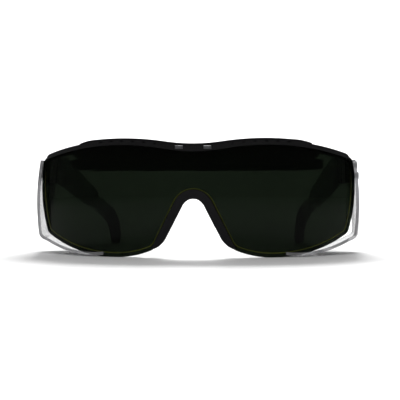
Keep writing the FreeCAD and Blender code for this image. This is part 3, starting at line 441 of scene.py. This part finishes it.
def lens_rim():
    """The border of the lens's front face as points in the front view, in order, in mm."""
    bm = bmesh.new()
    bm.from_mesh(NODES["lens_shield"].data)
    bm.transform(NODES["lens_shield"].matrix_world)
    bmesh.ops.remove_doubles(bm, verts=bm.verts, dist=1e-6)
    bm.normal_update()
    border = [
        edge
        for edge in bm.edges
        if len(edge.link_faces) == 2 and sum(face.normal.y < FACES_FRONT for face in edge.link_faces) == 1
    ]
    following = {}
    for edge in border:
        a, b = edge.verts
        following.setdefault(a.index, []).append(b.index)
        following.setdefault(b.index, []).append(a.index)
    bm.verts.ensure_lookup_table()
    start = min(following, key=lambda i: (abs(bm.verts[i].co.x), -bm.verts[i].co.z))
    loop, before = [start], None
    while True:
        onward = [i for i in following[loop[-1]] if i != before]
        before = loop[-1]
        if not onward or onward[0] == start:
            break
        loop.append(onward[0])
    points = [Vector((bm.verts[i].co.x, bm.verts[i].co.z)) / MM for i in loop]
    bm.free()
    return points


def resampled(points, step):
    """The closed line as evenly spaced points."""
    ring = points + [points[0]]
    lengths = [0.0]
    for a, b in zip(ring, ring[1:]):
        lengths.append(lengths[-1] + (b - a).length)
    count = round(lengths[-1] / step)
    found, k = [], 0
    for i in range(count):
        at = lengths[-1] * i / count
        while lengths[k + 1] < at:
            k += 1
        found.append(ring[k].lerp(ring[k + 1], (at - lengths[k]) / (lengths[k + 1] - lengths[k])))
    return found


def inset(points, distance):
    """The closed line moved inwards, and relaxed so that it stays even at the corners."""
    area = sum(a.x * b.y - b.x * a.y for a, b in zip(points, points[1:] + points[:1]))
    turn = 1 if area > 0 else -1
    moved = []
    for i, point in enumerate(points):
        way = (points[(i + 1) % len(points)] - points[i - 1]).normalized()
        moved.append(point + Vector((-way.y, way.x)) * turn * distance)
    count = len(moved)
    for _ in range(RELAX_LINE):
        moved = [(moved[i - 1] + moved[i] * 2 + moved[(i + 1) % count]) / 4 for i in range(count)]
    return moved


def make_painted_highlight_line():
    """A bead on the lens's front, with four points to a section, that narrows to nothing at its ends. Its
    colour is a painted highlight along the bend of the lens's edge.
    """
    rim = resampled(lens_rim(), RIM_STEP)
    outer, inner = inset(rim, BEAD_OUTER), inset(rim, BEAD_INNER)
    rows = [i for i in range(len(rim)) if rim[i].y < BEAD_TOP]
    gap = next((k for k in range(len(rows)) if rows[k] - rows[k - 1] not in (1, 1 - len(rim))), 0)
    rows = rows[gap:] + rows[:gap]
    bm = bmesh.new()
    sections = []
    for k, i in enumerate(rows):
        fade = min(1.0, (k + 1) / BEAD_TAPER, (len(rows) - k) / BEAD_TAPER)
        a, b = outer[i], inner[i]
        middle = (a + b) / 2
        a, b = middle.lerp(a, fade), middle.lerp(b, fade)
        section = []
        for point, lift in ((a, 0.0), (middle, BEAD_FRONT), (b, 0.0), (middle, BEAD_BACK)):
            place = Vector((point.x, lens_y(point.x, point.y) + lift, point.y))
            section.append(bm.verts.new(place * MM))
        sections.append(section)
    for one, two in zip(sections, sections[1:]):
        for j in range(4):
            bm.faces.new((one[j], one[(j + 1) % 4], two[(j + 1) % 4], two[j]))
    bm.faces.new(sections[0])
    bm.faces.new(sections[-1][::-1])
    bmesh.ops.recalc_face_normals(bm, faces=bm.faces)
    mesh = bpy.data.meshes.new("lens_painted_highlight_bead")
    bm.to_mesh(mesh)
    bm.free()
    for polygon in mesh.polygons:
        polygon.use_smooth = True
    line = bpy.data.objects.new("lens_painted_highlight_bead", mesh)
    bpy.context.scene.collection.objects.link(line)
    # the bead's material is a painted highlight
    mesh.materials.append(MATERIALS["rim"])
    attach(line, "front")


make_painted_highlight_line()


# --- floor, light, camera ---

EYE_HEIGHT = 0.027
EYE_DISTANCE = 0.463
EYE_ANGLE = math.radians(3.0)
AIM_DEPTH = 0.033
AIM = Vector((0.0, FRONT_Y + AIM_DEPTH, EYE_HEIGHT))
LENS_LENGTH, SENSOR_WIDTH = 83.7, 36.0
FRAME_SHIFT = 0.0077
NEAREST = 0.01

FLOOR_REACH = 8.0
FLOOR_ROW = -1.2  # an extra row across the flat floor
SWEEP_START, SWEEP_RADIUS, SWEEP_STEPS = 0.9, 0.6, 12
BACKDROP_TOP = 4.0

WORLD_STRENGTH = 0.24
# Each light's name, place, aim, size in metres and power in watts.
LIGHTS = (
    ("key_back", (0.0, 1.05, 1.1), (0.0, 0.0, 0.0), (0.6, 0.4), 25.0),
    ("key_top", (0.0, -0.75, 0.95), (0.0, -0.42, 0.0), (1.1, 0.5), 4.2),
    ("back_wash", (0.0, 0.85, 1.2), (0.0, 1.5, 0.3), (1.8, 0.5), 9.0),
    ("front_strip", (-0.1, -0.75, 0.75), (0.0, -0.05, 0.04), (0.9, 0.12), 0.5),
)


def make_floor():
    """A pale floor that sweeps up into a backdrop."""
    mesh = bpy.data.meshes.new("studio_floor")
    bm = bmesh.new()
    profile = [(-FLOOR_REACH, 0.0), (FLOOR_ROW, 0.0), (SWEEP_START, 0.0)]
    for i in range(1, SWEEP_STEPS + 1):
        angle = math.radians(90 * i / SWEEP_STEPS)
        forward, up = math.sin(angle), math.cos(angle)
        profile.append((SWEEP_START + SWEEP_RADIUS * forward, SWEEP_RADIUS - SWEEP_RADIUS * up))
    profile.append((SWEEP_START + SWEEP_RADIUS, BACKDROP_TOP))
    rows = [[bm.verts.new((x, y, z)) for y, z in profile] for x in (-FLOOR_REACH, FLOOR_REACH)]
    for i in range(len(profile) - 1):
        bm.faces.new((rows[0][i], rows[1][i], rows[1][i + 1], rows[0][i + 1]))
    bm.to_mesh(mesh)
    bm.free()
    for polygon in mesh.polygons:
        polygon.use_smooth = True
    floor = bpy.data.objects.new("studio_floor", mesh)
    bpy.context.scene.collection.objects.link(floor)
    graph = Graph("floor_white")
    mottled(graph, (0.86, 0.86, 0.86), 0.01, 3.0)
    graph.set(Roughness=0.6, Specular_IOR_Level=0.2)
    floor.data.materials.append(graph.material)


def area_light(name, place, aim, size, power):
    data = bpy.data.lights.new(name, "AREA")
    data.shape = "RECTANGLE"
    data.size, data.size_y = size
    data.energy = power
    light = bpy.data.objects.new(name, data)
    bpy.context.scene.collection.objects.link(light)
    light.location = place
    light.rotation_euler = (Vector(aim) - Vector(place)).to_track_quat("-Z", "Y").to_euler()


def make_light():
    world = bpy.data.worlds.new("studio")
    world.use_nodes = True
    background = world.node_tree.nodes["Background"]
    background.inputs["Color"].default_value = (1.0, 1.0, 1.0, 1.0)
    background.inputs["Strength"].default_value = WORLD_STRENGTH
    bpy.context.scene.world = world
    for light in LIGHTS:
        area_light(*light)


def make_camera():
    data = bpy.data.cameras.new("camera")
    data.lens = LENS_LENGTH
    data.sensor_width = SENSOR_WIDTH
    data.shift_x = FRAME_SHIFT
    data.clip_start = NEAREST
    camera = bpy.data.objects.new("camera", data)
    bpy.context.scene.collection.objects.link(camera)
    offset = Vector((math.sin(EYE_ANGLE), -math.cos(EYE_ANGLE), 0)) * EYE_DISTANCE
    camera.location = AIM + offset
    camera.rotation_euler = (math.radians(90), 0, EYE_ANGLE)
    bpy.context.scene.camera = camera


make_floor()
make_light()
make_camera()
bpy.context.scene.view_settings.view_transform = "Standard"
